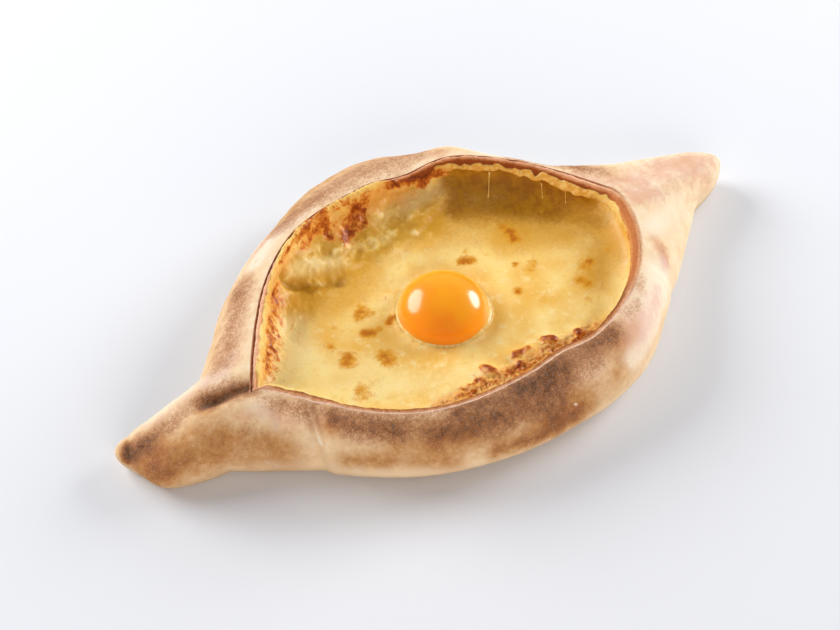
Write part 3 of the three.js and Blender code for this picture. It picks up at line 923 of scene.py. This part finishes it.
# Painted shade: darker cheese under the far right rim, beside the edge of the slumped sheet and in the
# far-left pocket under the mound.
RECESS_SHADE = [
    ((34, 35, 21), (62, 18, 21), 9, 0.75),
    ((42, 43, 26), (30, 35, 21), 4, 0.8),
    ((66, 20, 24), (79, 3, 27), 4.5, 1),
    ((66, 14, 21), (77, -6, 22), 7, 0.55),
    ((54, 24, 21), (66, 12, 21), 8, 0.5),
    ((-50, 37, 23), (-44, 32, 22), 3.4, 0.85),
    ((-44, 32, 22), (-32, 30, 20), 2.6, 0.55),
]
CLUMPS = [
    ((-19, 43, 23), (-18, 40, 22), 2.4, 1),
    ((2, 38, 21), (-2, 38, 21), 2.2, 1),
    ((-6, 27, 20), (-2, 28, 21), 2.4, 1.2),
    ((-8, 38, 21), None, 2, 0.7),
    ((8, 33, 21), None, 2.4, 0.8),
    ((15, 38, 21), (22, 40, 22), 2.4, 0.7),
    ((2, 48, 24), None, 2, 0.9),
    ((8, 45, 23), None, 2.2, 0.8),
    ((14, 48, 25), None, 2, 0.9),
    ((-26, 42, 23), None, 2.4, 0.8),
    ((-40, 43, 25), (-32, 37, 22), 4.2, 1.2),
    ((-25, 37, 22), (-22, 33, 20), 2.6, 0.8),
    ((-64, 28, 27), (-70, 17, 24), 3, 0.7),
    ((-56, 33, 25), None, 2.2, 0.7),
]
FINE_CHEESE = [  # from, to, radius, height
    ((-9, -43), (-8, -47), 2.2, 1.6),
    ((5, -45), None, 2, 1.5),
    ((10, -46), None, 2, 1.5),
    ((19, -46), (21, -48), 2.4, 1.7),
    ((32, -51), None, 2.2, 1.5),
    ((3, -50), None, 1.8, 1.2),
    ((-20, -48), None, 2.4, 0.9),
    ((-50, 37), (-33, 30), 3, -2.4),
    ((-40, 43), (-26, 36), 4.5, 2.2),
    ((-52, 40), None, 2, -2),
    ((-15, 48), (-9, 52), 1.3, -1.2),
    ((-8, 48), (-4, 52), 1.2, -1),
    ((-24, 50), None, 1.4, -1.2),
]
BROWNING_COLOURS = {0: "fae2a0", 0.25: "f4c86e", 0.45: "dc8c34", 0.65: "a8501a", 1: "642a0c"}
# from olive-gold between the slump's lumps to pale on their tops: partly real, partly painted shade
CLUMP_COLOURS = {0.1: "cc9828", 0.35: "e0b448", 0.6: "f2d484", 0.85: "fcebbe"}
RING_WIDTH = 0.8
NEAR_CRAGS = (200, 215, 345, 358)
FAR_RIGHT_FRINGE = (4, 12, 58, 70)
# bearings of the painted shade in the hollow under the far right rim
FAR_RIGHT_HOLLOW_SHADE = (10, 20, 52, 64)
FAR_LEFT_SLUMP = (55, 70, 138, 158)
RIDGE = {"from": np.array([38, 45]), "to": np.array([-14, 24]), "height": 1.8, "behind": 9, "before": 1.8}


def ridge(x, y):
    """The edge of the slumped sheet: gentle behind it, steep before it."""
    along = RIDGE["to"] - RIDGE["from"]
    length = np.hypot(*along)
    along = along / length
    u = (x - RIDGE["from"][0]) * along[0] + (y - RIDGE["from"][1]) * along[1]
    d = (y - RIDGE["from"][1]) * along[0] - (x - RIDGE["from"][0]) * along[1]
    ends = between(u, -4, 4, length - 14, length + 4)
    return RIDGE["height"] * ends * np.exp(-((d / np.where(d < 0, RIDGE["behind"], RIDGE["before"])) ** 2))


def rings(x, y):
    """Rims of flat blisters."""
    wobble = 1.1 * noise(np.stack([x, y, 0 * x], -1), 5, 33)
    total = 0
    for (centre_x, centre_y), radius in RINGS:
        away = np.hypot(x - centre_x, y - centre_y) + wobble - radius
        total = total + np.exp(-((away / RING_WIDTH) ** 2))
    return total


def hang_fringe(top, way, contact, reach, fringe):
    """Lets the edge of the cheese hang inwards and down in waves."""
    waves = (0.7 + 1.1 * layered(contact, 8, 2, 28)).clip(0, 1.6)[:, None]
    hanging = fringe * waves * np.exp(-((reach / 1.3) ** 2))
    top += way[:, None] * (0.9 * hanging)[..., None]
    top[..., 2] -= 1.3 * hanging


def seat_yolk(top):
    """Lets the cheese rise a little round the yolk, and dents it below the yolk."""
    away = np.hypot(top[..., 0] - YOLK["x"], top[..., 1] - YOLK["y"])
    snug = YOLK["radius"] + 0.1
    top[..., 2] += 0.5 * np.exp(-(((away - snug).clip(0) / 1.6) ** 2))
    dent = YOLK["base"] - (YOLK["below"] + GAP) * np.sqrt(1 - (away / snug).clip(0, 1) ** 2)
    top[..., 2] = np.where(away < snug, np.minimum(dent, top[..., 2]), top[..., 2])


def make_cheese(angle, material):
    """`reach` is the distance down from the end of the lip, and less than 0 on the skin over the lip."""
    top, bearing, way, contact = cheese_columns(angle)
    under = cavity_columns(angle, GAP, CHEESE_ROWS["under"])[:, ::-1][:, :-1]
    x, y = top[..., 0], top[..., 1]
    row = np.arange(top.shape[1])[None, :] - CHEESE_ROWS["skin"]
    reach = np.linalg.norm(top - contact[:, None], axis=2) * np.sign(row)
    turn = np.degrees(bearing)[:, None] + 0 * reach
    on_near = between(turn, *NEAR_CRAGS)
    on_left = step(turn, 140, 155) * (1 - on_near)
    fringe = between(turn, *FAR_RIGHT_FRINGE)
    # painted shade in the hollow under the far right rim
    hollow_shade = between(turn, *FAR_RIGHT_HOLLOW_SHADE) * between(reach, 1, 2.5, 8, 19)
    slump = between(turn, *FAR_LEFT_SLUMP) * between(reach, -1, 3, 18, 34)
    brown, warm, clumps = (stroked(top, strokes) for strokes in (BROWN, WARM, CLUMPS))
    lining = (1 - step(reach, 0.8, 2.4)) * on_near
    fall = np.stack([bearing[:, None] * 48 + 0 * reach, reach * 0.4, top[..., 2] * 0.3], -1)
    streaky, craggy = ridged(fall, 3.3, 3, 26), ridged(top, 3, 3, 27)
    clumps = step(clumps * 0.7 + 0.8 * layered(top, 4.5, 3, 24, 0.6), -0.1, 1)
    height = 0.35 * noise(top, 22, 21) + 0.12 * noise(top, 8, 22)
    height += slump * (0.6 * noise(top, 11, 23) + 0.28 * layered(top, 6, 4, 25, 0.6) + 0.55 * (clumps - 0.3))
    height += relief(FINE_CHEESE, x, y) + ridge(x, y) + 0.25 * rings(x, y)
    height *= step(reach, 0, 3)
    height += on_near * warm * 2.6 * (craggy - 0.3) + (1 - on_near) * brown * 1.2 * (streaky - 0.5)
    height += on_left * warm * 2 * (streaky - 0.35)
    on_skin = 1 - step(reach, 0, 2)
    height += on_skin * (1 - on_near) * (crust_noise(top, 1) + 0.3 + 0.5 * (streaky - 0.3))
    rounded = np.sqrt(step(row, -CHEESE_ROWS["skin"], 4 - CHEESE_ROWS["skin"]))
    flat = step(reach, 12, 20)[..., None]
    raising = grid_normals(top) * (1 - flat) + np.array([0, 0, 1]) * flat
    top = top + raising * (height * rounded - 0.3 * (1 - rounded))[..., None]
    hang_fringe(top, way, contact, reach, fringe)
    seat_yolk(top)
    points = np.concatenate([under, top], axis=1)
    masks = {
        "spots": stroked(top, SPOTS),
        "rings": rings(x, y),
        "brown": 1 - (1 - brown) * (1 - 0.8 * lining),
        "warm": warm,
        "clumps": clumps,
        "streaky": np.where(on_near > 0.5, craggy, streaky),
        "deep_and_shade": stroked(top, DEEP_AND_SHADE),
        "cream_and_light": stroked(top, CREAM_AND_LIGHT),
        "recess_shade": 1 - (1 - stroked(top, RECESS_SHADE)) * (1 - 1.1 * hollow_shade),
        "slump": slump,
        "fringe": fringe * (1 - step(reach, 0.8, 1.8)),
    }
    for name, values in masks.items():
        masks[name] = np.concatenate([np.repeat(values[:, :1], under.shape[1], axis=1), values], axis=1)
    bottom = on_yolk_axis(FLOOR_HEIGHT + GAP)
    middle = on_yolk_axis(YOLK["base"] - YOLK["below"] - GAP)
    closed("cheese", bottom, points, middle, masks, material, "cheese_filling")


def cheese_material():
    s = Shader("cheese")
    broad, middle, small, grain = s.noise(20, 4), s.noise(5, 4, 0.6), s.noise(1.8, 3, 0.6), s.noise(0.8, 2)
    mottle = s.sum((middle, 0.6), (small, 0.4), (grain, 0.15), (1, -0.575))
    colour = s.mix(s.step(broad, 0.38, 0.62), "f9da88", "efbe5c")
    colour = s.mix(s.times(s.step(middle, 0.5, 0.68), 0.55), colour, "fdeaac")
    colour = s.mix(s.times(s.step(middle, 0.48, 0.34), 0.4), colour, "e8b040")
    # the lumps paler on top and olive-gold between them: partly painted shade
    lumps = s.sum((s.mask("clumps"), 0.6), (middle, 0.5), (small, 0.25), (1, -0.27))
    lumpy = s.ramp(lumps, CLUMP_COLOURS)
    # painted shade for the recess under the far right rim
    shade = s.mix(s.step(middle, 0.4, 0.6), "9c6200", "b27c06")
    colour = s.painted(
        colour,
        mottle,
        ("slump", 1.5, 0.2, 0.9, 0.85, lumpy),
        ("cream_and_light", 1.2, 0.1, 1, 0.7, "fde8a6"),
        ("deep_and_shade", 1.1, 0.1, 0.9, 0.75, "d89c22"),
        ("recess_shade", 1.3, 0.1, 1, 0.92, shade),
    )
    hanging = s.mix(s.step(small, 0.4, 0.62), "e6ac4a", "f4cc7a")
    colour = s.mix(s.times(s.step(s.mask("fringe"), 0.3, 0.6), 0.95), colour, hanging)
    heat = s.sum((s.mask("brown"), 0.55), (s.mask("streaky"), 0.4), (middle, 0.8), (small, 0.8), (1, -0.94))
    colour = s.painted(
        colour,
        mottle,
        ("spots", 1.8, 0.15, 0.65, 0.9, "e09c20"),
        ("spots", 2.2, 0.5, 1.05, 0.9, "be6c0c"),
        ("rings", 1.2, 0.5, 1.2, 0.5, "c98a30"),
        ("warm", 1.6, 0.2, 0.9, 0.8, "e8a456"),
        ("brown", 2.4, 0.3, 0.6, 1, s.ramp(heat, BROWNING_COLOURS)),
    )
    normal = s.bump(s.sum((middle, 0.5), (small, 0.4), (grain, 0.15)), 0.7, 0.6)
    soft = (0.2, (1.0, 0.6, 0.15), 1.8)
    return s.finish(colour, 0.4, soft, Normal=normal, Specular_IOR_Level=0.3)


STRINGS = [  # thin strands of cheese that hang under the far right rim: from, to, radius
    ((50.5, 37, 31.5), (47.5, 33, 20.5), 0.22),
    ((66.2, 20.5, 29.5), (65, 17.5, 23.5), 0.15),
    ((72.5, 12, 29), (71.3, 9.3, 24), 0.15),
]
STRING_FLARE = {"middle": 0.75, "foot": 1.2, "head": 1.4, "power": 8}  # shares of the radius


def make_strings(material):
    """Strands that grow thicker where they leave the rim and where they land."""
    _, ring = circle(STRING_COLUMNS)
    down = np.linspace(0, 1, STRING_ROWS)
    power = STRING_FLARE["power"]
    ends = STRING_FLARE["foot"] * down**power + STRING_FLARE["head"] * (1 - down) ** power
    for number, (start, end, radius) in enumerate(STRINGS, 1):
        middle = np.array(start) + (np.array(end) - start) * down[:, None]
        middle[:, :2] += 0.12 * np.stack([noise(middle, 4, 51), noise(middle, 4, 52)], -1)
        flare = radius * (STRING_FLARE["middle"] + ends)
        points = (middle + ring * flare[:, None])[:, ::-1]
        closed(f"cheese_string_{number}", middle[-1], points, middle[0], {}, material)


# ---------- yolk ----------
def make_yolk():
    """A dome above the cheese and a shallower one below it."""
    turn = np.linspace(-np.pi / 2, np.pi / 2, YOLK_ROWS + 1)[None, 1:-1]
    _, ring = circle(YOLK_COLUMNS)
    points = on_yolk_axis(YOLK["base"]) + (YOLK["radius"] * np.cos(turn))[..., None] * ring
    points[..., 2] += np.where(turn > 0, YOLK["above"], YOLK["below"]) * np.sin(turn)
    bottom = on_yolk_axis(YOLK["base"] - YOLK["below"])
    top = on_yolk_axis(YOLK["base"] + YOLK["above"])
    points = points + grid_normals(points) * (0.12 * noise(points, 9, 31))[..., None]
    # painted shade: the yolk deeper orange towards its bottom
    masks = {"low": 1 - step(points[..., 2], 22, 31)}
    closed("yolk", bottom, points, top, masks, yolk_material(), "egg_yolk")


def yolk_material():
    s = Shader("yolk")
    colour = s.mix(s.step(s.noise(12, 3), 0.35, 0.65), "ffa200", "ff9600")
    # painted shade, deeper orange towards the bottom
    colour = s.mix(s.times(s.mask("low"), 0.7), colour, "ff8000")
    # painted light: the yolk yellower where its surface turns away, as if light shone through the thin edge
    colour = s.mix(s.times(s.facing(0.3), 0.8), colour, "ffce48")
    soft = (0.5, (1.0, 0.4, 0.02), 5)
    return s.finish(colour, 0.18, soft, IOR=1.42, Coat_Weight=0.5, Coat_Roughness=0.18)


FILM = {
    "width": 0.7,
    "extra_width": 1.1,  # where it is widest
    "widest_at": 318,  # bearing in degrees
    "widest_over": 26,
    "least_width": 0.5,
    "tucked": 0.35,  # how far it reaches under the yolk's edge
    "climb": (0.9, 0.35),  # height at the yolk, and more of it for each millimetre of width
    "edge": 0.12,  # height where it ends
    "depth": 1.2,  # of the hidden side
}


def make_film():
    """Egg white that clings round the foot of the yolk, widest on its near right."""
    spin, ring = circle(FILM_COLUMNS)
    turn = np.linspace(0, 1, FILM_ROWS)[None, :]
    bulge = np.exp(-(((np.degrees(spin) - FILM["widest_at"]) / FILM["widest_over"]) ** 2))
    uneven = 0.35 * noise(YOLK["radius"] * ring[:, 0], 6, 41)[:, None]
    width = (FILM["width"] + FILM["extra_width"] * bulge + uneven).clip(FILM["least_width"])
    out = YOLK["radius"] - FILM["tucked"] + (width + FILM["tucked"]) * turn
    height, more = FILM["climb"]
    rise = (height + more * width) * (1 - turn) ** 2.2
    bare = on_yolk_axis(YOLK["base"])
    upper = bare + ring * out[..., None]
    upper[..., 2] += rise + FILM["edge"]
    lower = bare + ring * np.stack([out[:, -1], out[:, 0] - 0.6], -1)[..., None]
    lower[..., 2] -= FILM["depth"]
    points = np.concatenate([upper, lower], axis=1)[:, ::-1]
    faces = grid_faces(*points.shape[:2], ring=True)
    piece("egg_white_film", points.reshape(-1, 3), faces.tolist(), {}, film_material())


def film_material():
    s = Shader("egg_white")
    colour = s.mix(s.step(s.noise(3, 3), 0.4, 0.6), "f6c064", "fbdc9c")
    return s.finish(colour, 0.14, (0.5, (1.0, 0.7, 0.3), 1.5), IOR=1.36)


# ---------- stage ----------
FLOOR_HALF_WIDTH = 6  # metres
NEAR_SIDE = -90  # degrees from +X
CAMERA = {"azimuth": NEAR_SIDE - 34.5, "elevation": 50, "away": 820, "aim": (-13.64, -6.22, 18)}
LENS, SENSOR = 85, 36


def make_floor():
    half = FLOOR_HALF_WIDTH
    mesh = bpy.data.meshes.new("floor")
    corners = [(-half, -half, 0), (half, -half, 0), (half, half, 0), (-half, half, 0)]
    mesh.from_pydata(corners, [], [(0, 1, 2, 3)])
    s = Shader("floor")
    mesh.materials.append(s.finish("e6eaf2", 0.7, Specular_IOR_Level=0.2))
    placed("floor", mesh)


def look_at(thing, target, azimuth, elevation, away):
    """Puts a lamp or camera away from its target, at an azimuth (from +X) and an elevation in degrees."""
    a, e = math.radians(azimuth), math.radians(elevation)
    direction = Vector((math.cos(a) * math.cos(e), math.sin(a) * math.cos(e), math.sin(e)))
    thing.location = Vector(target) + direction * away
    thing.rotation_euler = (-direction).to_track_quat("-Z", "Y").to_euler()


def softbox(name, azimuth, elevation, away, size, power, colour):
    light = bpy.data.lights.new(name, "AREA")
    light.shape = "ELLIPSE"
    light.size, light.size_y = size
    light.energy = power
    light.color = colour
    lamp = placed(name, light)
    look_at(lamp, (0, 0, 0), azimuth, elevation, away)
    return lamp


def make_lights():
    softbox("back_left_softbox", 118, 30, 1.5, (1.25, 0.9), 22, (1.0, 0.98, 0.95))
    softbox("back_right_softbox", -2, 23, 1.5, (0.8, 0.65), 18, (1.0, 0.98, 0.95))
    softbox("low_fill", 245, 24, 1.8, (1.8, 0.9), 16, (1.0, 0.84, 0.68)).visible_glossy = False
    world = bpy.data.worlds.new("studio")
    bpy.context.scene.world = world
    world.use_nodes = True
    background = world.node_tree.nodes["Background"]
    background.inputs["Color"].default_value = (0.86, 0.92, 1.0, 1)
    background.inputs["Strength"].default_value = 0.25


def make_camera():
    """The photograph's view, as judged from its outline, with lens and distance assumed."""
    data = bpy.data.cameras.new("camera")
    data.lens, data.sensor_width = LENS, SENSOR
    camera = placed("camera", data)
    target = Vector(CAMERA["aim"]) * MM
    look_at(camera, target, CAMERA["azimuth"], CAMERA["elevation"], CAMERA["away"] * MM)
    bpy.context.scene.camera = camera


bpy.context.scene.view_settings.view_transform = "Standard"
make_camera()
make_lights()
make_floor()
angles = even_angles(COLUMNS)
make_bread(angles)
cheese = cheese_material()
make_cheese(angles, cheese)
make_strings(cheese)
make_yolk()
make_film()
